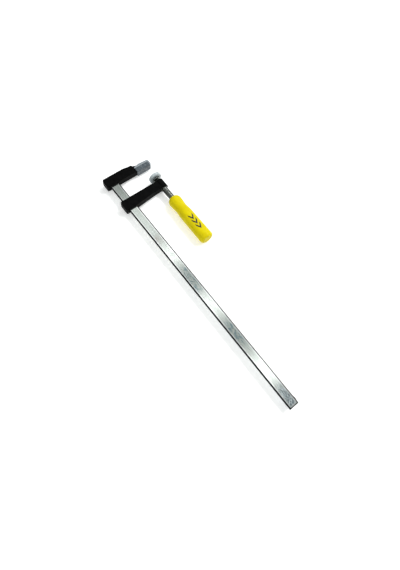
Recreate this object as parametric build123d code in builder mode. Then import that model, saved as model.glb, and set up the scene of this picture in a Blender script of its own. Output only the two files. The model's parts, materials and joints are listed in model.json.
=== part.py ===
"""F clamp: a flat steel bar, a cast fixed jaw, a cast sliding arm and a screw spindle.

The clamp lies flat. +X runs along the bar from the fixed jaw to the free end, +Y runs from the bar
towards the jaws, and +Z is the upper broad face. The spindle turns about the X axis, and the fixed
jaw clamps on the plane X = 0. All sizes are in millimetres.
"""

import os
from math import sqrt

from build123d import *

# Cutting and joining
OVERLAP = 1.0                       # how far a helper shape runs past the face it cuts or joins
CUT_REACH = 80.0                    # longer than any cut

# Bar
REACH = 73.0                        # from the bar's edge to the spindle axis
BAR_WIDTH = 20.0
BAR_THICKNESS = 6.0
BAR_CORNER = 1.0                    # rolled corner radius
BAR_START_X = -24.5
BAR_END_X = 575.0
BAR_Y = -(REACH + BAR_WIDTH / 2)    # centre line of the bar
NOTCH_PITCH = 3.0
NOTCH_DEPTH = 0.45
NOTCH_WIDTH = 1.3
NOTCH_FIRST_X = 9.0
NOTCH_COUNT = 180                   # on each narrow edge
NOTCH_LAND_LIFT = 0.001             # keeps the lands just clear of the cut
EAR_X = 565.0                       # swaged ear that stops the arm
EAR_LENGTH = 9.0
EAR_HEIGHT = 0.9
EAR_THICKNESS = 4.2
DIMPLE_RADIUS = 1.5
DIMPLE_TIP_RADIUS = 0.375
DIMPLE_INSET = 5.2                  # from the bar's edge to the punch mark
DIMPLE_DEPTH = 0.9

# Fixed jaw
JAW_DEPTH = 17.0                    # along Z
JAW_UNDER_X = -2.5
JAW_BACK_X = -26.1
JAW_ROOT_Y = BAR_Y - 17.8
JAW_ROOT_BACK_RADIUS = 5.0
JAW_BEND_START_Y = -48.0            # the back bends in from here
JAW_BEND_END_Y = -34.0
JAW_BEND_RADIUS = 30.0
JAW_NECK_Y = -26.2                  # the arm ends and the capped tip begins
JAW_LIP_X = -23.5
JAW_LIP_STEP = 2.6
JAW_LIP_RUN = 2.0
FOOT_HALF_DEPTH = 6.7
FOOT_BACK_X = -7.0
WEB_HALF_DEPTH = 3.4
WEB_TIP_X = -14.6                   # back of the web, from the tip to the neck
WEB_KNEE_X = -17.2
WEB_KNEE_Y = -10.0
WEB_NECK_X = -22.6
TIP_END_Y = 9.5
CASTING_CORNER_RADIUS = 3.0
CASTING_EDGE_RADIUS = 1.6
SLOT_PLAY_JAW = 0.1
PIN_RADIUS = 2.0
PIN_XS = (-8.5, -19.5)
PIN_SINK = 0.1                      # below the casting at each end
PIN_CHAMFER = 0.4

# Cap on the fixed jaw's tip
CAP_WALL = 2.3
CAP_GAP = 0.1
CAP_END_Y = 12.0
CAP_MOUTH_Y = -25.2
CAP_HALF_DEPTH = FOOT_HALF_DEPTH + CAP_WALL
CAP_BACK_TIP_X = -16.9
CAP_BACK_MOUTH_X = -19.1
CAP_BACK_MOUTH_Y = -11.0
CAP_MOUTH_CORNER_X = -14.6          # the mouth slants from here to the back
CAP_TIP_RADIUS = 4.5
CAP_FRONT_RADIUS = 1.5
CAP_SHOULDER_X = -8.2               # the section narrows behind this line
CAP_BACK_LIMIT_X = -20.0
CAP_BACK_HALF_DEPTH = 5.6

# Sliding arm
ARM_DEPTH = 17.0
ARM_FRONT_X = 43.0                  # face towards the fixed jaw
ARM_REAR_OUTLINE = ((63.6, -4.0), (64.7, -30.0), (67.9, -68.0))
ARM_REAR_X_AT_ROOT = 68.6
ARM_REAR_BEND_RADIUS = 60.0
ARM_ROOT_Y = BAR_Y - 16.6
BOSS_RADIUS = 10.0
BOSS_FRONT_X = 42.4
BOSS_REAR_X = 64.0
BOSS_EDGE_RADIUS = 0.8
SLOT_PLAY_ARM = 0.25

# Spindle with a right hand trapezoidal thread
THREAD_RADIUS = 6.75
THREAD_PITCH = 2.5
THREAD_DEPTH = 1.2
THREAD_CREST = 1.15                 # width of the crest
THREAD_ROOT = 1.75                  # width of the tooth at the core
BOSS_THREAD_TURNS = 12
THREAD_PLAY = 0.2                   # between the spindle and the arm's thread, on every side
CORE_RADIUS = THREAD_RADIUS - THREAD_DEPTH
THREAD_START_X = 41.9               # end of the shank that the thread is cut on
THREAD_LEAD_IN = 0.6
TOOTH_FOOT = 0.4                    # how far the tooth reaches into the core
HELIX_START_X = THREAD_START_X + THREAD_ROOT / 2
BOSS_HELIX_START_X = HELIX_START_X - 2 * THREAD_PITCH   # whole turns before, so they are in mesh
THREAD_TURNS = 22
BALL_X = 35.3
BALL_RADIUS = 6.0
NECK_RADIUS = 3.5
TANG_SIDE = 9.4
TANG_CORNER = 1.2
TANG_END_X = 166.0

# Swivel pad on the ball
PAD_FRONT_X = 28.1
PAD_RADIUS = 12.3
PAD_THICKNESS = 4.0
PAD_CHAMFER = 0.6
HUB_RADIUS = 8.2
HUB_REAR_X = BALL_X + 3.5
HUB_TAPER_LENGTH = 1.6
HUB_TAPER_DEPTH = 2.0
SOCKET_RADIUS = BALL_RADIUS + 0.3
SOCKET_MOUTH_RADIUS = 4.6
PAD_CAP_FRONT_X = 26.3
PAD_CAP_RADIUS = 14.5
PAD_CAP_REAR_X = 33.8
PAD_CAP_LIP_RADIUS = 9.0
PAD_CAP_EDGE_RADIUS = 1.4
SAME_RADIUS = 0.01                  # two radii closer than this are the same

# Loose washer on the spindle's neck
WASHER_X = 40.3
WASHER_THICKNESS = 1.4
WASHER_RADIUS = 6.2
WASHER_BORE_RADIUS = NECK_RADIUS + 0.25
WASHER_CHAMFER = 0.2

# Handle
HANDLE_START_X = 95.0
HANDLE_END_X = 219.0
HANDLE_MOUTH_RADIUS = THREAD_RADIUS + 0.4
HANDLE_MOUTH_DEPTH = 5.0
HANDLE_FACE_RADIUS = 8.0
SHOULDER_FROM_START = 4.0           # a point on the shoulder's arc
SHOULDER_RADIUS = 12.7
BULB_FROM_START = 13.5
BULB_RADIUS = 14.6
WAIST_FROM_START = 32.0
WAIST_RADIUS = 13.25
GRIP_FROM_START = 50.0
GRIP_RADIUS = 14.8
GRIP_SLOPE = 0.012
GRIP_END_RADIUS = 15.3
HANDLE_END_ROUND = 6.0

PARTS_FOLDER = "parts"


def save(piece, label):
    """Name the finished piece and write it as one STEP file."""
    piece.part.label = label
    export_step(piece.part, f"{PARTS_FOLDER}/{label}.step")
    print(label, "volume", round(piece.part.volume, 1), "valid", piece.part.is_valid)


def edge_comb(edge_y, outward):
    """Closed outline of the notches along one narrow edge of the bar."""
    root_y = edge_y - outward * NOTCH_DEPTH
    clear_y = edge_y + outward * OVERLAP
    last_x = NOTCH_FIRST_X + NOTCH_PITCH * NOTCH_COUNT
    points = [(NOTCH_FIRST_X - NOTCH_PITCH, clear_y)]
    for index in range(NOTCH_COUNT):
        x = NOTCH_FIRST_X + NOTCH_PITCH * index
        points.append((x - NOTCH_WIDTH / 2, edge_y + outward * NOTCH_LAND_LIFT))
        points.append((x, root_y))
        points.append((x + NOTCH_WIDTH / 2, edge_y + outward * NOTCH_LAND_LIFT))
    points.append((last_x, clear_y))
    return points


def thread_tooth(play, start_x, turns):
    """Helical tooth of the thread about the X axis, grown by play on every side."""
    flank = (THREAD_ROOT - THREAD_CREST) / 2 / THREAD_DEPTH
    top = THREAD_DEPTH + play
    half_foot = THREAD_ROOT / 2 + flank * TOOTH_FOOT + play
    half_top = THREAD_CREST / 2 - flank * play + play
    with BuildPart() as tooth:
        with BuildLine() as path:
            Helix(pitch=THREAD_PITCH, height=THREAD_PITCH * turns, radius=CORE_RADIUS,
                  center=(start_x, 0, 0), direction=(1, 0, 0))
        start = path.line @ 0
        outward = (start - Vector(start_x, 0, 0)).normalized()
        with BuildSketch(Plane(origin=start, x_dir=outward, z_dir=path.line % 0)):
            with BuildLine():
                Polyline((-TOOTH_FOOT, -half_foot), (top, -half_top), (top, half_top),
                         (-TOOTH_FOOT, half_foot), close=True)
            make_face()
        sweep(path=path.line, is_frenet=True)
    return tooth.part


os.makedirs(PARTS_FOLDER, exist_ok=True)
bar_near_edge = BAR_Y + BAR_WIDTH / 2
bar_far_edge = BAR_Y - BAR_WIDTH / 2

# Bar: rolled flat, notched edges, swaged ear and punch mark near the free end.
with BuildPart() as bar:
    with BuildSketch(Plane.YZ.offset(BAR_START_X)):
        with Locations((BAR_Y, 0)):
            RectangleRounded(BAR_WIDTH, BAR_THICKNESS, BAR_CORNER)
    extrude(amount=BAR_END_X - BAR_START_X)
    with BuildSketch(Plane.XY.offset(-BAR_THICKNESS)):
        for edge_y, outward in ((bar_near_edge, 1), (bar_far_edge, -1)):
            with BuildLine():
                Polyline(*edge_comb(edge_y, outward), close=True)
            make_face()
    extrude(amount=2 * BAR_THICKNESS, mode=Mode.SUBTRACT)
    with BuildSketch(Plane.XY.offset(-EAR_THICKNESS / 2)):
        with BuildLine():
            ThreePointArc((EAR_X - EAR_LENGTH / 2, bar_near_edge),
                          (EAR_X, bar_near_edge + EAR_HEIGHT),
                          (EAR_X + EAR_LENGTH / 2, bar_near_edge))
            Polyline((EAR_X + EAR_LENGTH / 2, bar_near_edge),
                     (EAR_X + EAR_LENGTH / 2, bar_near_edge - 2 * OVERLAP),
                     (EAR_X - EAR_LENGTH / 2, bar_near_edge - 2 * OVERLAP),
                     (EAR_X - EAR_LENGTH / 2, bar_near_edge))
        make_face()
    extrude(amount=EAR_THICKNESS)
    with Locations((EAR_X, bar_near_edge - DIMPLE_INSET, BAR_THICKNESS / 2 - DIMPLE_DEPTH / 2)):
        Cone(DIMPLE_TIP_RADIUS, DIMPLE_RADIUS, DIMPLE_DEPTH, mode=Mode.SUBTRACT)
    for pin_x in PIN_XS:
        with Locations((pin_x, BAR_Y, 0)):
            Cylinder(PIN_RADIUS, 2 * BAR_THICKNESS, mode=Mode.SUBTRACT)
save(bar, "bar")

# Fixed jaw: one casting with the bar's slot at its root and a footed tip for the cap.
with BuildPart() as fixed_jaw:
    with BuildSketch(Plane.XY.offset(-JAW_DEPTH / 2)):
        with BuildLine():
            Polyline((JAW_UNDER_X, JAW_NECK_Y), (JAW_UNDER_X, JAW_ROOT_Y),
                     (JAW_BACK_X, JAW_ROOT_Y), (JAW_BACK_X, JAW_BEND_START_Y),
                     (JAW_LIP_X, JAW_BEND_END_Y), (JAW_LIP_X, JAW_NECK_Y - JAW_LIP_RUN),
                     (JAW_LIP_X + JAW_LIP_STEP, JAW_NECK_Y), close=True)
        make_face()
        fillet(vertices().filter_by(lambda corner: corner.Y in
                                    (JAW_BEND_START_Y, JAW_BEND_END_Y)), JAW_BEND_RADIUS)
        root_corners = vertices().group_by(Axis.Y)[0]
        fillet(root_corners.sort_by(Axis.X)[0], JAW_ROOT_BACK_RADIUS)
        fillet(vertices().group_by(Axis.Y)[0].sort_by(Axis.X)[-1], CASTING_CORNER_RADIUS)
    extrude(amount=JAW_DEPTH)
    fillet(faces().sort_by(Axis.Z)[-1].edges(), CASTING_EDGE_RADIUS)
    fillet(faces().sort_by(Axis.Z)[0].edges(), CASTING_EDGE_RADIUS)
    with BuildSketch(Plane.XY.offset(-FOOT_HALF_DEPTH)):
        with BuildLine():
            Polyline((JAW_UNDER_X, JAW_NECK_Y - OVERLAP), (JAW_UNDER_X, TIP_END_Y),
                     (FOOT_BACK_X, TIP_END_Y), (FOOT_BACK_X, JAW_NECK_Y - OVERLAP), close=True)
        make_face()
    extrude(amount=2 * FOOT_HALF_DEPTH)
    with BuildSketch(Plane.XY.offset(-WEB_HALF_DEPTH)):
        with BuildLine():
            Polyline((FOOT_BACK_X + OVERLAP, JAW_NECK_Y - OVERLAP),
                     (FOOT_BACK_X + OVERLAP, TIP_END_Y),
                     (WEB_TIP_X, TIP_END_Y), (WEB_KNEE_X, WEB_KNEE_Y),
                     (WEB_NECK_X, JAW_NECK_Y - OVERLAP), close=True)
        make_face()
    extrude(amount=2 * WEB_HALF_DEPTH)
    with Locations(((BAR_START_X + JAW_UNDER_X) / 2, BAR_Y, 0)):
        Box(CUT_REACH, BAR_WIDTH + 2 * SLOT_PLAY_JAW, BAR_THICKNESS + 2 * SLOT_PLAY_JAW,
            mode=Mode.SUBTRACT)
    for pin_x in PIN_XS:
        with Locations((pin_x, BAR_Y, 0)):
            Cylinder(PIN_RADIUS, 2 * JAW_DEPTH, mode=Mode.SUBTRACT)
save(fixed_jaw, "fixed_jaw")

# Two pins that lock the fixed jaw on the bar, flush with the casting.
with BuildPart() as jaw_pins:
    for pin_x in PIN_XS:
        with Locations((pin_x, BAR_Y, 0)):
            Cylinder(PIN_RADIUS, JAW_DEPTH - 2 * PIN_SINK)
    chamfer(jaw_pins.edges().filter_by(GeomType.CIRCLE), PIN_CHAMFER)
save(jaw_pins, "jaw_pins")

# Soft cap pushed over the fixed jaw's tip. It clamps on the plane X = 0.
with BuildPart() as fixed_jaw_cap:
    with BuildSketch(Plane.XY.offset(-CAP_HALF_DEPTH)):
        with BuildLine():
            Polyline((0, CAP_MOUTH_Y), (0, CAP_END_Y), (CAP_BACK_TIP_X, CAP_END_Y),
                     (CAP_BACK_MOUTH_X, CAP_BACK_MOUTH_Y), (CAP_MOUTH_CORNER_X, CAP_MOUTH_Y),
                     close=True)
        make_face()
        fillet(vertices().group_by(Axis.Y)[-1], CAP_TIP_RADIUS)
    extrude(amount=2 * CAP_HALF_DEPTH)
    with BuildSketch(Plane.XZ.offset(-CUT_REACH / 2)):
        for side in (1, -1):
            with BuildLine():
                Polyline((CAP_SHOULDER_X, side * CAP_HALF_DEPTH),
                         (CAP_BACK_LIMIT_X, side * CAP_BACK_HALF_DEPTH),
                         (CAP_BACK_LIMIT_X, side * (CAP_HALF_DEPTH + 2 * OVERLAP)),
                         (CAP_SHOULDER_X, side * (CAP_HALF_DEPTH + 2 * OVERLAP)), close=True)
            make_face()
    extrude(amount=CUT_REACH, mode=Mode.SUBTRACT)
    fillet(edges().filter_by(Axis.Y).group_by(Axis.X)[-1], CAP_FRONT_RADIUS)
    with BuildSketch(Plane.XY.offset(-FOOT_HALF_DEPTH - CAP_GAP)):
        with BuildLine():
            Polyline((JAW_UNDER_X + CAP_GAP, JAW_NECK_Y - OVERLAP),
                     (JAW_UNDER_X + CAP_GAP, TIP_END_Y + CAP_GAP),
                     (FOOT_BACK_X - CAP_GAP, TIP_END_Y + CAP_GAP),
                     (FOOT_BACK_X - CAP_GAP, JAW_NECK_Y - OVERLAP), close=True)
        make_face()
    extrude(amount=2 * (FOOT_HALF_DEPTH + CAP_GAP), mode=Mode.SUBTRACT)
    with BuildSketch(Plane.XY.offset(-WEB_HALF_DEPTH - CAP_GAP)):
        with BuildLine():
            Polyline((FOOT_BACK_X + OVERLAP, JAW_NECK_Y - OVERLAP),
                     (FOOT_BACK_X + OVERLAP, TIP_END_Y + CAP_GAP),
                     (WEB_TIP_X - CAP_GAP, TIP_END_Y + CAP_GAP),
                     (WEB_KNEE_X - CAP_GAP, WEB_KNEE_Y),
                     (WEB_NECK_X - CAP_GAP, JAW_NECK_Y - OVERLAP), close=True)
        make_face()
    extrude(amount=2 * (WEB_HALF_DEPTH + CAP_GAP), mode=Mode.SUBTRACT)
save(fixed_jaw_cap, "fixed_jaw_cap")

# Sliding arm: one casting, slotted for the bar, with a threaded boss round the spindle.
with BuildPart() as sliding_arm:
    with BuildSketch(Plane.XY.offset(-ARM_DEPTH / 2)):
        with BuildLine():
            Polyline((ARM_FRONT_X, ARM_ROOT_Y), (ARM_FRONT_X, ARM_REAR_OUTLINE[0][1]),
                     *ARM_REAR_OUTLINE, (ARM_REAR_X_AT_ROOT, ARM_ROOT_Y), close=True)
        make_face()
        bend_ys = [y for x, y in ARM_REAR_OUTLINE[1:]]
        fillet(vertices().filter_by(lambda corner: corner.Y in bend_ys), ARM_REAR_BEND_RADIUS)
        fillet(vertices().group_by(Axis.Y)[0].sort_by(Axis.X)[0], CASTING_CORNER_RADIUS)
        fillet(vertices().group_by(Axis.Y)[0].sort_by(Axis.X)[-1], CASTING_CORNER_RADIUS)
    extrude(amount=ARM_DEPTH)
    fillet(faces().sort_by(Axis.Z)[-1].edges(), CASTING_EDGE_RADIUS)
    fillet(faces().sort_by(Axis.Z)[0].edges(), CASTING_EDGE_RADIUS)
    with BuildSketch(Plane.YZ.offset(BOSS_FRONT_X)):
        Circle(BOSS_RADIUS)
    extrude(amount=BOSS_REAR_X - BOSS_FRONT_X)
    fillet(edges().filter_by(GeomType.CIRCLE).group_by(Axis.X)[0], BOSS_EDGE_RADIUS)
    with Locations(((ARM_FRONT_X + ARM_REAR_X_AT_ROOT) / 2, BAR_Y, 0)):
        Box(CUT_REACH, BAR_WIDTH + 2 * SLOT_PLAY_ARM, BAR_THICKNESS + 2 * SLOT_PLAY_ARM,
            mode=Mode.SUBTRACT)
    with BuildSketch(Plane.YZ.offset(BOSS_FRONT_X - OVERLAP)):
        Circle(CORE_RADIUS + THREAD_PLAY)
    extrude(amount=BOSS_REAR_X - BOSS_FRONT_X + 2 * OVERLAP, mode=Mode.SUBTRACT)
    add(thread_tooth(THREAD_PLAY, BOSS_HELIX_START_X, BOSS_THREAD_TURNS), mode=Mode.SUBTRACT)
save(sliding_arm, "sliding_arm")

# Spindle: ball end, neck, threaded shank and a square tang inside the handle.
with BuildPart() as spindle:
    shank_end_x = HELIX_START_X + THREAD_PITCH * THREAD_TURNS + THREAD_ROOT
    neck_start_x = BALL_X + sqrt(BALL_RADIUS ** 2 - NECK_RADIUS ** 2)
    with BuildSketch(Plane.XY):
        with BuildLine():
            ThreePointArc((BALL_X - BALL_RADIUS, 0), (BALL_X, BALL_RADIUS),
                          (neck_start_x, NECK_RADIUS))
            Polyline((neck_start_x, NECK_RADIUS), (THREAD_START_X, NECK_RADIUS),
                     (THREAD_START_X, CORE_RADIUS - THREAD_LEAD_IN),
                     (THREAD_START_X + THREAD_LEAD_IN, CORE_RADIUS),
                     (shank_end_x, CORE_RADIUS), (shank_end_x, 0),
                     (BALL_X - BALL_RADIUS, 0))
        make_face()
    revolve(axis=Axis.X)
    add(thread_tooth(0.0, HELIX_START_X, THREAD_TURNS))
    with BuildSketch(Plane.YZ.offset(shank_end_x)):
        RectangleRounded(TANG_SIDE, TANG_SIDE, TANG_CORNER)
    extrude(amount=TANG_END_X - shank_end_x)
save(spindle, "spindle")

# Washer that keeps the pad off the end of the thread.
with BuildPart() as neck_washer:
    with BuildSketch(Plane.YZ.offset(WASHER_X)):
        Circle(WASHER_RADIUS)
        Circle(WASHER_BORE_RADIUS, mode=Mode.SUBTRACT)
    extrude(amount=WASHER_THICKNESS)
    chamfer(edges().filter_by(GeomType.CIRCLE), WASHER_CHAMFER)
save(neck_washer, "neck_washer")

# Swivel pad: a turned steel disc with a socket closed round the ball.
with BuildPart() as pad_disc:
    mouth_x = HUB_REAR_X
    pad_back_x = PAD_FRONT_X + PAD_THICKNESS
    with BuildSketch(Plane.XY):
        with BuildLine():
            Polyline((PAD_FRONT_X, 0), (PAD_FRONT_X, PAD_RADIUS - PAD_CHAMFER),
                     (PAD_FRONT_X + PAD_CHAMFER, PAD_RADIUS),
                     (pad_back_x - PAD_CHAMFER, PAD_RADIUS),
                     (pad_back_x, PAD_RADIUS - PAD_CHAMFER),
                     (pad_back_x, HUB_RADIUS + PAD_CHAMFER),
                     (pad_back_x + PAD_CHAMFER, HUB_RADIUS),
                     (mouth_x - HUB_TAPER_LENGTH, HUB_RADIUS),
                     (mouth_x, HUB_RADIUS - HUB_TAPER_DEPTH), (mouth_x, 0), (PAD_FRONT_X, 0))
        make_face()
    revolve(axis=Axis.X)
    with Locations((BALL_X, 0, 0)):
        Sphere(SOCKET_RADIUS, mode=Mode.SUBTRACT)
    with BuildSketch(Plane.YZ.offset(BALL_X)):
        Circle(SOCKET_MOUTH_RADIUS)
    extrude(amount=SOCKET_RADIUS, mode=Mode.SUBTRACT)
save(pad_disc, "pad_disc")

# Soft cap stretched over the swivel pad, with a lip behind it.
with BuildPart() as pad_cap:
    with BuildSketch(Plane.XY):
        with BuildLine():
            inner_radius = PAD_RADIUS + CAP_GAP
            inner_front_x = PAD_FRONT_X - CAP_GAP
            lip_front_x = PAD_FRONT_X + PAD_THICKNESS + CAP_GAP
            Polyline((PAD_CAP_FRONT_X, 0), (PAD_CAP_FRONT_X, PAD_CAP_RADIUS),
                     (PAD_CAP_REAR_X, PAD_CAP_RADIUS), (PAD_CAP_REAR_X, PAD_CAP_LIP_RADIUS),
                     (lip_front_x, PAD_CAP_LIP_RADIUS), (lip_front_x, inner_radius),
                     (inner_front_x, inner_radius), (inner_front_x, 0), (PAD_CAP_FRONT_X, 0))
        make_face()
    revolve(axis=Axis.X)
    outer_rims = edges().filter_by(GeomType.CIRCLE).filter_by(
        lambda rim: abs(rim.radius - PAD_CAP_RADIUS) < SAME_RADIUS)
    fillet(outer_rims, PAD_CAP_EDGE_RADIUS)
save(pad_cap, "pad_cap")

# Handle: moulded grip with a bulb, a waist and a long straight body, hollow for the tang.
with BuildPart() as handle:
    bulb_x = HANDLE_START_X + BULB_FROM_START
    waist_x = HANDLE_START_X + WAIST_FROM_START
    grip_x = HANDLE_START_X + GRIP_FROM_START
    mouth_end_x = HANDLE_START_X + HANDLE_MOUTH_DEPTH
    with BuildSketch(Plane.XY):
        with BuildLine():
            Line((HANDLE_START_X, HANDLE_MOUTH_RADIUS), (HANDLE_START_X, HANDLE_FACE_RADIUS))
            ThreePointArc((HANDLE_START_X, HANDLE_FACE_RADIUS),
                          (HANDLE_START_X + SHOULDER_FROM_START, SHOULDER_RADIUS),
                          (bulb_x, BULB_RADIUS))
            Spline((bulb_x, BULB_RADIUS), (waist_x, WAIST_RADIUS), (grip_x, GRIP_RADIUS),
                   tangents=((1, 0), (1, GRIP_SLOPE)))
            Polyline((grip_x, GRIP_RADIUS), (HANDLE_END_X, GRIP_END_RADIUS),
                     (HANDLE_END_X, 0), (mouth_end_x, 0), (mouth_end_x, HANDLE_MOUTH_RADIUS),
                     (HANDLE_START_X, HANDLE_MOUTH_RADIUS))
        make_face()
        fillet(vertices().group_by(Axis.X)[-1].sort_by(Axis.Y)[-1], HANDLE_END_ROUND)
    revolve(axis=Axis.X)
    with BuildSketch(Plane.YZ.offset(mouth_end_x - OVERLAP)):
        RectangleRounded(TANG_SIDE, TANG_SIDE, TANG_CORNER)
    extrude(amount=TANG_END_X - mouth_end_x + OVERLAP, mode=Mode.SUBTRACT)
save(handle, "handle")
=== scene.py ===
"""Looks of the F clamp: materials, moulded details, floor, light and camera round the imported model."""

import json
import math

import bmesh
import bpy
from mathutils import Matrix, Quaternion, Vector


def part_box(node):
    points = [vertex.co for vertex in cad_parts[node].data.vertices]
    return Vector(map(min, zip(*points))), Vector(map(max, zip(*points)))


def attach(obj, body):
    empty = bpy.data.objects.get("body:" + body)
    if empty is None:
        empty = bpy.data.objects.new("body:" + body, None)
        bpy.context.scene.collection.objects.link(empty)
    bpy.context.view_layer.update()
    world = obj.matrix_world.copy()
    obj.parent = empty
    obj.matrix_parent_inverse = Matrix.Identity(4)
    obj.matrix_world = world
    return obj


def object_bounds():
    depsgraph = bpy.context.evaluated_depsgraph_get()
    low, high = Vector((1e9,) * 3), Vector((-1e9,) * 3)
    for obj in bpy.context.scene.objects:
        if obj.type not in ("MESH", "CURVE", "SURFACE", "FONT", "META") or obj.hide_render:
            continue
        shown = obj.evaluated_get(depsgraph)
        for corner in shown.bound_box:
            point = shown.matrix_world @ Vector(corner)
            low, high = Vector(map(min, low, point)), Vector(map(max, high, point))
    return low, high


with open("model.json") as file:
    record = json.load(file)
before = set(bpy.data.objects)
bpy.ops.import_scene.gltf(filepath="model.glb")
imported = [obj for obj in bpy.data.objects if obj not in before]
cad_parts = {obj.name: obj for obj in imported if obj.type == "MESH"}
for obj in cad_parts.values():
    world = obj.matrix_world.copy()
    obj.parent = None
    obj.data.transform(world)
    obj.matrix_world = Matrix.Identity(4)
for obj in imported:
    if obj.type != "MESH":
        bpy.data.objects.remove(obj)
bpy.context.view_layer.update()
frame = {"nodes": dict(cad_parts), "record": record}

# All lengths are in metres and all angles in degrees.

# Camera at the photograph's viewing angle
CAMERA_PLACE = Vector((0.50409, -0.30653, 0.80814))
CAMERA_AIM = Vector((0.2475, -0.0230, 0.0))
CAMERA_ROLL = 10.5
CAMERA_LENS = 39.12                 # millimetres
CAMERA_SENSOR = 36.0                # millimetres
CAMERA_SHIFT = (-0.0191, -0.0749)

# Places on the bar. A ramp is given by where it starts and where it is complete.
bar_low, bar_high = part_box("bar")
BAR_HALF_WIDTH = 0.010
BAR_MIDDLE = bar_low[1] + BAR_HALF_WIDTH    # the ear widens the box on the other side only
BAR_END = bar_high[0]
# two zones where the spangle is strong and dark: real spangle, with painted shade for the darker
# reflections between the highlights
SPANGLE_AND_SHADE_ZONES = ((0.232, 0.308, 0.020), (0.368, 0.445, 0.025))  # start, stop, softness
STAIN_ZONE = (0.145, 0.180, 0.015)
COARSE_END = (0.515, 0.552)
HIGHLIGHT_BORDER = (0.0042, 0.0036)         # painted highlight band, by distance from the nearest edge of the broad face
# painted shade along the edges, by the same distance
SHADED_BORDER = (0.0025, 0.0020)

# Places on the caps
CAP_RIDGE_X = -0.0125
CAP_BAND_SOFTNESS = 0.0008
CAP_RIDGE = (0.0012, 0.0004)                # distance from the ridge's line, for its painted highlight
JAW_CAP_RIM_Y = (0.0070, 0.0105)
PAD_CAP_RIM_Y = (0.005, 0.012)

# Printed marks on the handle
MARK_SHARES = (0.565, 0.670, 0.775)         # of the handle's length, from the spindle's end
MARK_ANGLE = 90
MARK_SIZE = 0.0100
MARK_STROKE = 0.0056
MARK_ASPECT = 0.55                          # half width over length
MARK_STEPS = 6
INK_THICKNESS = 0.00012
RING_VERTICES = 200                         # enough of the handle's vertices to hold a full ring
SAME_PLACE = 1e-6

# Floor and world
FLOOR_DROP = 0.0002
FLOOR_HALF = 4.0
FLOOR_GLOW = 0.32
WORLD_COLOUR = (0.94, 1.0, 0.97, 1.0)
WORLD_STRENGTH = 0.36

# The strips overhead draw the long soft highlights on the bar: place along X, width and power.
STRIPS = ((-0.59, 0.26, 0.90), (-0.32, 0.11, 0.98), (0.04, 0.12, 0.98), (0.47, 0.15, 1.20))
STRIP_Y = 0.45
STRIP_Z = 1.40
STRIP_LENGTH = 1.5
# The glint is mirrored by the spindle. The key and the fill are for the floor and the handle.
SUBJECT = (0.25, -0.05, 0)
LAMPS = (
    ("glint", (-0.66, 0.95, 1.40), (-0.66, 0.95, 0), (0.6, 0.16), 4.5),
    ("key", (0.45, 1.9, 2.5), SUBJECT, (2.2, 0.8), 78),
    ("fill", (0.5, -1.8, 1.6), SUBJECT, (1.8, 0.9), 19),
)


# ---------------------------------------------------------------- materials

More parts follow.
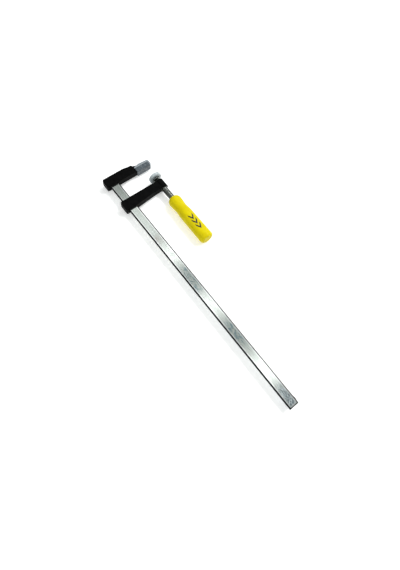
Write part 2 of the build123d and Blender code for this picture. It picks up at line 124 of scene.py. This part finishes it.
class Shader:
    """A material with one Principled shader, built node by node."""

    def __init__(self, name, **sockets):
        self.material = bpy.data.materials.new(name)
        self.material.use_nodes = True
        self.tree = self.material.node_tree
        self.bsdf = self.tree.nodes["Principled BSDF"]
        for socket, value in sockets.items():
            self.bsdf.inputs[socket.replace("_", " ")].default_value = value
        self.place = self.tree.nodes.new("ShaderNodeTexCoord").outputs["Object"]

    def node(self, kind, **settings):
        made = self.tree.nodes.new(kind)
        for key, value in settings.items():
            setattr(made, key, value)
        return made

    def link(self, source, target):
        self.tree.links.new(source, target)

    def set_or_link(self, value, socket):
        """Put a number on the socket, or link another node's output to it."""
        if isinstance(value, bpy.types.NodeSocket):
            self.link(value, socket)
        else:
            socket.default_value = value

    def noise(self, scale, stretch=(1, 1, 1), detail=3.0, rough=0.55, offset=(0, 0, 0)):
        """Noise in object space. scale is in cycles per metre, before the stretch of each axis."""
        mapping = self.node("ShaderNodeMapping")
        mapping.inputs["Scale"].default_value = stretch
        mapping.inputs["Location"].default_value = offset
        self.link(self.place, mapping.inputs["Vector"])
        noise = self.node("ShaderNodeTexNoise")
        noise.inputs["Scale"].default_value = scale
        noise.inputs["Detail"].default_value = detail
        noise.inputs["Roughness"].default_value = rough
        self.link(mapping.outputs["Vector"], noise.inputs["Vector"])
        return noise.outputs["Fac"]

    def remap(self, value, start, stop, low, high, **settings):
        ranged = self.node("ShaderNodeMapRange", **settings)
        for socket, number in (("From Min", start), ("From Max", stop),
                               ("To Min", low), ("To Max", high)):
            ranged.inputs[socket].default_value = number
        self.link(value, ranged.inputs["Value"])
        return ranged.outputs["Result"]

    def spread(self, value, low, high, start=0.35, stop=0.65):
        """The value's middle range stretched to run from low to high."""
        return self.remap(value, start, stop, low, high)

    def ramp(self, value, start, stop, low, high):
        """Runs smoothly from low at start to high at stop, and stays there beyond them."""
        return self.remap(value, start, stop, low, high, interpolation_type="SMOOTHSTEP")

    def blend(self, factor, low, high):
        """A colour between low and high. Either is a colour or the output of another blend."""
        mix = self.node("ShaderNodeMix", data_type="RGBA")
        self.link(factor, mix.inputs["Factor"])
        for socket, colour in ((mix.inputs[6], low), (mix.inputs[7], high)):
            if isinstance(colour, tuple):
                colour = (*colour, 1.0)
            self.set_or_link(colour, socket)
        return mix.outputs[2]

    def maths(self, operation, *values):
        made = self.node("ShaderNodeMath", operation=operation)
        for socket, value in zip(made.inputs, values):
            self.set_or_link(value, socket)
        return made.outputs[0]

    def axis_value(self, axis):
        """The object-space coordinate along X, Y or Z."""
        split = self.node("ShaderNodeSeparateXYZ")
        self.link(self.place, split.inputs["Vector"])
        return split.outputs[axis]

    def distance(self, axis, centre):
        """The distance from the plane at centre on that axis."""
        return self.maths("ABSOLUTE", self.maths("SUBTRACT", self.axis_value(axis), centre))

    def along(self, start, stop):
        """Runs smoothly from 0 at start to 1 at stop, along X."""
        return self.ramp(self.axis_value("X"), start, stop, 0, 1)

    def band(self, start, stop, soft):
        """1 between start and stop along X and 0 outside, with soft borders."""
        return self.maths("SUBTRACT", self.along(start, start + soft), self.along(stop - soft, stop))

    def colour(self, output):
        self.link(output, self.bsdf.inputs["Base Color"])

    def roughness(self, output):
        self.link(output, self.bsdf.inputs["Roughness"])

    def metallic(self, output):
        self.link(output, self.bsdf.inputs["Metallic"])

    def bump(self, *layers):
        """Bump layers, each a height output and its depth."""
        normal = None
        for height, depth in layers:
            bump = self.node("ShaderNodeBump")
            bump.inputs["Strength"].default_value = 1.0
            bump.inputs["Distance"].default_value = depth
            self.link(height, bump.inputs["Height"])
            if normal is not None:
                self.link(normal, bump.inputs["Normal"])
            normal = bump.outputs["Normal"]
        self.link(normal, self.bsdf.inputs["Normal"])


def plated_bar():
    """Zinc plate on a rolled flat: clouds, spangle made dark in two zones as painted shade, a painted
    highlight along the borders of the broad faces and painted shade on the edges.
    """
    shader = Shader("plated_bar", Specular_IOR_Level=0.05)
    clouds = shader.noise(9, (0.8, 2.2, 2.2), 2.0)
    streaks = shader.noise(40, (0.10, 5, 5), 4.0, 0.6, (1, 0, 2))
    spangle = shader.noise(220, (0.8, 1, 1), 5.0, 0.75)
    stain = shader.noise(24, (0.8, 1.5, 1.5), 5.0, 0.65, (3, 1, 0))
    coarse = shader.noise(340, (1, 1, 1), 5.0, 0.75, (7, 7, 7))

    dull_zinc, light_zinc, rolled_streak = (0.62, 0.67, 0.63), (0.70, 0.74, 0.70), (0.84, 0.86, 0.85)
    base = shader.blend(shader.spread(clouds, 0, 1), dull_zinc, light_zinc)
    base = shader.blend(shader.spread(streaks, 0, 0.25), base, rolled_streak)

    # a fine teal spangle, faint all along; in two zones of the middle it is strong and dark, which is
    # painted shade for the darker reflections between the highlights
    teal, strength_in_zones, strength_elsewhere = (0.22, 0.32, 0.35), 0.85, 0.06
    zones = shader.maths("ADD", *(shader.band(*zone) for zone in SPANGLE_AND_SHADE_ZONES))
    mottle_and_shade = shader.maths("MULTIPLY", shader.spread(spangle, 0, 1, 0.47, 0.55),
                          shader.maths("MULTIPLY_ADD", zones, strength_in_zones,
                                       strength_elsewhere))
    base = shader.blend(mottle_and_shade, base, teal)

    # a brownish stain
    brown = (0.52, 0.47, 0.44)
    stained = shader.maths("MULTIPLY", shader.spread(stain, 0.2, 1, 0.45, 0.6),
                           shader.band(*STAIN_ZONE))
    base = shader.blend(stained, base, brown)

    # the far end took more zinc and shows a coarser blue grey spangle
    dark_grain, bright_grain = (0.09, 0.13, 0.16), (0.90, 0.98, 1.0)
    rough_end = shader.blend(shader.spread(coarse, 0, 1, 0.46, 0.55), dark_grain, bright_grain)
    base = shader.blend(shader.along(*COARSE_END), base, rough_end)

    # painted highlight: a light band just inside the borders of the broad faces, where the rounded edges
    # would catch the light
    edge_highlight = (0.96, 0.98, 0.97)
    side_inset = shader.maths("SUBTRACT", BAR_HALF_WIDTH, shader.distance("Y", BAR_MIDDLE))
    end_inset = shader.maths("SUBTRACT", BAR_END, shader.axis_value("X"))
    inset = shader.maths("MINIMUM", side_inset, end_inset)
    base = shader.blend(shader.ramp(inset, *HIGHLIGHT_BORDER, 0, 0.9), base, edge_highlight)

    # painted shade: the narrow edges, their corners, the cut end and a thin border of the broad faces
    # are painted near black and not metallic, with a faint lighter speckle
    edge_shade_colour, edge_shade_speckle = (0.003, 0.004, 0.005), (0.016, 0.018, 0.018)
    edge = shader.blend(shader.spread(spangle, 0, 0.5, 0.5, 0.75), edge_shade_colour, edge_shade_speckle)
    dark = shader.ramp(inset, *SHADED_BORDER, 0, 1)
    shader.colour(shader.blend(dark, base, edge))
    shader.metallic(shader.maths("SUBTRACT", 1.0, dark))
    edge_extra_roughness = 0.35
    shader.roughness(shader.maths("MULTIPLY_ADD", dark, edge_extra_roughness,
                                  shader.spread(spangle, 0.13, 0.20)))
    shader.bump((clouds, 0.0002), (spangle, 0.000004))
    return shader.material


def plated_spindle():
    """Oiled zinc plate on rolled and turned steel."""
    shader = Shader("plated_spindle", Metallic=1.0)
    patches = shader.noise(180, (1, 1, 1), 3.0)
    grime = shader.noise(420, (1, 1, 1), 5.0, 0.7, (4, 1, 2))
    oiled, bright, dirty = (0.22, 0.23, 0.22), (0.30, 0.31, 0.29), (0.09, 0.09, 0.08)
    base = shader.blend(shader.spread(patches, 0, 1), oiled, bright)
    shader.colour(shader.blend(shader.spread(grime, 0, 0.5, 0.6, 0.8), base, dirty))
    shader.roughness(shader.spread(patches, 0.15, 0.22))
    return shader.material


def black_casting():
    """Black paint over a sand cast surface, with a little dust and small dents."""
    shader = Shader("black_casting", Metallic=0.0, Specular_IOR_Level=0.03)
    grain = shader.noise(900, (1, 1, 1), 4.0, 0.65)
    lumps = shader.noise(130, (1, 1, 1), 3.0)
    dust = shader.noise(320, (1, 1, 1), 5.0, 0.7, (5, 2, 1))
    deep, worn, dusty = (0.0014, 0.0014, 0.0015), (0.0030, 0.0030, 0.0031), (0.011, 0.011, 0.010)
    base = shader.blend(shader.spread(lumps, 0, 1), deep, worn)
    shader.colour(shader.blend(shader.spread(dust, 0, 0.4, 0.62, 0.8), base, dusty))
    shader.roughness(shader.spread(grain, 0.40, 0.60))
    shader.bump((lumps, 0.0003), (grain, 0.00010))
    return shader.material


def soft_cap(name, dark, light, rim_and_highlight, rim_y, transmission):
    """Soft translucent plastic, slightly clouded, with faint pull lines, a lighter end, and on the jaw's
    cap a painted lit band and a painted highlight along the ridge.
    """
    shader = Shader(name, Metallic=0.0, IOR=1.45, Specular_IOR_Level=0.3,
                    Transmission_Weight=transmission)
    haze = shader.noise(160, (1, 1, 1), 3.0)
    lines = shader.noise(260, (1, 0.10, 1), 2.0)
    base = shader.blend(shader.spread(haze, 0, 1), dark, light)
    # painted light: behind the ridge along the jaw's cap, the face turned to the light is painted
    # lighter
    lit_band = shader.ramp(shader.axis_value("X"), CAP_RIDGE_X, CAP_RIDGE_X - CAP_BAND_SOFTNESS,
                         0, 0.55)
    base = shader.blend(lit_band, base, rim_and_highlight)
    # painted highlight along the ridge of the jaw's cap
    ridge_highlight = shader.ramp(shader.distance("X", CAP_RIDGE_X), *CAP_RIDGE, 0, 0.8)
    base = shader.blend(ridge_highlight, base, rim_and_highlight)
    shader.colour(shader.blend(shader.ramp(shader.axis_value("Y"), *rim_y, 0, 0.8), base, rim_and_highlight))
    shader.roughness(shader.spread(haze, 0.20, 0.32))
    shader.bump((lines, 0.00003))
    return shader.material


def yellow_plastic():
    """Moulded yellow plastic with cloudy pigment and a fine orange peel."""
    shader = Shader("yellow_plastic", Metallic=0.0, Specular_IOR_Level=0.08,
                    Subsurface_Weight=0.08, Subsurface_Radius=(0.004, 0.003, 0.001))
    pigment = shader.noise(70, (0.6, 1, 1), 4.0, 0.6)
    peel = shader.noise(1100, (1, 1, 1), 2.0)
    scuffs = shader.noise(420, (0.25, 1, 1), 5.0, 0.7, (2, 4, 1))
    deep, clean, scuffed = (0.60, 0.49, 0.001), (0.66, 0.555, 0.0015), (0.46, 0.37, 0.004)
    base = shader.blend(shader.spread(pigment, 0, 1), deep, clean)
    shader.colour(shader.blend(shader.spread(scuffs, 0, 0.35, 0.62, 0.8), base, scuffed))
    shader.roughness(shader.spread(scuffs, 0.36, 0.50))
    shader.bump((pigment, 0.0002), (peel, 0.00002))
    return shader.material


def print_ink():
    """Matt black pad print."""
    shader = Shader("print_ink", Metallic=0.0)
    wear = shader.noise(1500, (1, 1, 1), 4.0)
    fresh, worn = (0.003, 0.003, 0.003), (0.008, 0.008, 0.007)
    shader.colour(shader.blend(shader.spread(wear, 0, 1), fresh, worn))
    shader.roughness(shader.spread(wear, 0.45, 0.65))
    return shader.material


MATERIALS = {
    "plated_bar": plated_bar(),
    "plated_spindle": plated_spindle(),
    "black_casting": black_casting(),
    "clear_cap": soft_cap("clear_cap", (0.075, 0.090, 0.105), (0.105, 0.125, 0.140),
                          (0.42, 0.46, 0.49), JAW_CAP_RIM_Y, 0.10),
    "yellow_plastic": yellow_plastic(),
}
# the cap on the swivel pad is thinner and clearer than the one on the jaw
THIN_CAP = soft_cap("thin_cap", (0.50, 0.56, 0.58), (0.62, 0.68, 0.70),
                    (0.70, 0.74, 0.76), PAD_CAP_RIM_Y, 0.35)

for part in frame["record"]["subparts"]:
    name = part["node"]
    for slot in frame["nodes"][name].material_slots:
        slot.material = THIN_CAP if name == "pad_cap" else MATERIALS[part["material_slot"]]


# ---------------------------------------------------------------- printed marks on the handle

def profile_radius(x):
    """Outer radius of the handle at x, read from its mesh."""
    vertices = frame["nodes"]["handle"].data.vertices
    near = sorted(vertices, key=lambda vertex: abs(vertex.co.x - x))[:RING_VERTICES]
    return max(math.hypot(vertex.co.y, vertex.co.z) for vertex in near)


def chevron_limb(mesh, centre_x, side):
    """One limb of a chevron, from its point to its tail, wrapped round the handle's axis."""
    rows = []
    for setback in (0.0, -MARK_STROKE):
        row = []
        for step in range(MARK_STEPS + 1):
            share = step / MARK_STEPS
            x = centre_x + MARK_SIZE * (share - 0.5) + setback
            radius = profile_radius(x) + INK_THICKNESS
            turn = math.radians(MARK_ANGLE) + side * MARK_SIZE * (1 - share) * MARK_ASPECT / radius
            row.append(mesh.verts.new((x, radius * math.cos(turn), radius * math.sin(turn))))
        rows.append(row)
    front, back = rows
    for step in range(MARK_STEPS):
        mesh.faces.new((front[step], front[step + 1], back[step + 1], back[step]))


def chevron(name, centre_x, ink):
    """A small printed arrowhead that points along +X, wrapped on the handle about its axis."""
    mesh = bmesh.new()
    for side in (1, -1):
        chevron_limb(mesh, centre_x, side)
    bmesh.ops.remove_doubles(mesh, verts=mesh.verts, dist=SAME_PLACE)
    bmesh.ops.recalc_face_normals(mesh, faces=mesh.faces)
    data = bpy.data.meshes.new(name)
    mesh.to_mesh(data)
    mesh.free()
    data.materials.append(ink)
    piece = bpy.data.objects.new(name, data)
    bpy.context.scene.collection.objects.link(piece)
    solid = piece.modifiers.new("ink", "SOLIDIFY")
    solid.thickness = INK_THICKNESS
    solid.offset = 0.0
    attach(piece, "screw")


ink_material = print_ink()
handle_low, handle_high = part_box("handle")
handle_length = handle_high[0] - handle_low[0]
for number, share in enumerate(MARK_SHARES, start=1):
    chevron(f"handle_mark_{number}", handle_low[0] + share * handle_length, ink_material)


# ---------------------------------------------------------------- floor, light and camera

def area_light(name, place, aim, size, power):
    data = bpy.data.lights.new(name, "AREA")
    data.shape = "RECTANGLE"
    data.size, data.size_y = size
    data.energy = power
    lamp = bpy.data.objects.new(name, data)
    lamp.location = place
    lamp.rotation_euler = (Vector(aim) - Vector(place)).to_track_quat("-Z", "Y").to_euler()
    bpy.context.scene.collection.objects.link(lamp)


def make_floor():
    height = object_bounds()[0][2] - FLOOR_DROP
    data = bpy.data.meshes.new("floor")
    corners = ((-1, -1), (1, -1), (1, 1), (-1, 1))
    data.from_pydata([(x * FLOOR_HALF, y * FLOOR_HALF, height) for x, y in corners],
                     [], [(0, 1, 2, 3)])
    floor = bpy.data.objects.new("floor", data)
    bpy.context.scene.collection.objects.link(floor)
    shader = Shader("floor_paper", Metallic=0.0, Roughness=0.9, Emission_Strength=FLOOR_GLOW,
                    Emission_Color=(1, 1, 1, 1))
    shader.colour(shader.blend(shader.noise(3), (0.90, 0.90, 0.90), (0.93, 0.93, 0.93)))
    data.materials.append(shader.material)


def make_world():
    world = bpy.data.worlds.new("studio")
    world.use_nodes = True
    background = world.node_tree.nodes["Background"]
    background.inputs["Color"].default_value = WORLD_COLOUR
    background.inputs["Strength"].default_value = WORLD_STRENGTH
    bpy.context.scene.world = world


def make_camera():
    data = bpy.data.cameras.new("camera")
    data.sensor_fit = "HORIZONTAL"
    data.sensor_width = CAMERA_SENSOR
    data.lens = CAMERA_LENS
    data.shift_x, data.shift_y = CAMERA_SHIFT
    camera = bpy.data.objects.new("camera", data)
    camera.location = CAMERA_PLACE
    look = (CAMERA_AIM - CAMERA_PLACE).to_track_quat("-Z", "Y")
    roll = Quaternion((0, 0, 1), math.radians(CAMERA_ROLL))
    camera.rotation_mode = "QUATERNION"
    camera.rotation_quaternion = look @ roll
    bpy.context.scene.collection.objects.link(camera)
    bpy.context.scene.camera = camera


make_floor()
make_world()
for number, (x, width, power) in enumerate(STRIPS, start=1):
    area_light(f"strip_{number}", (x, STRIP_Y, STRIP_Z), (x, STRIP_Y, 0),
               (width, STRIP_LENGTH), power)
for lamp in LAMPS:
    area_light(*lamp)
make_camera()
bpy.context.scene.view_settings.view_transform = "Standard"
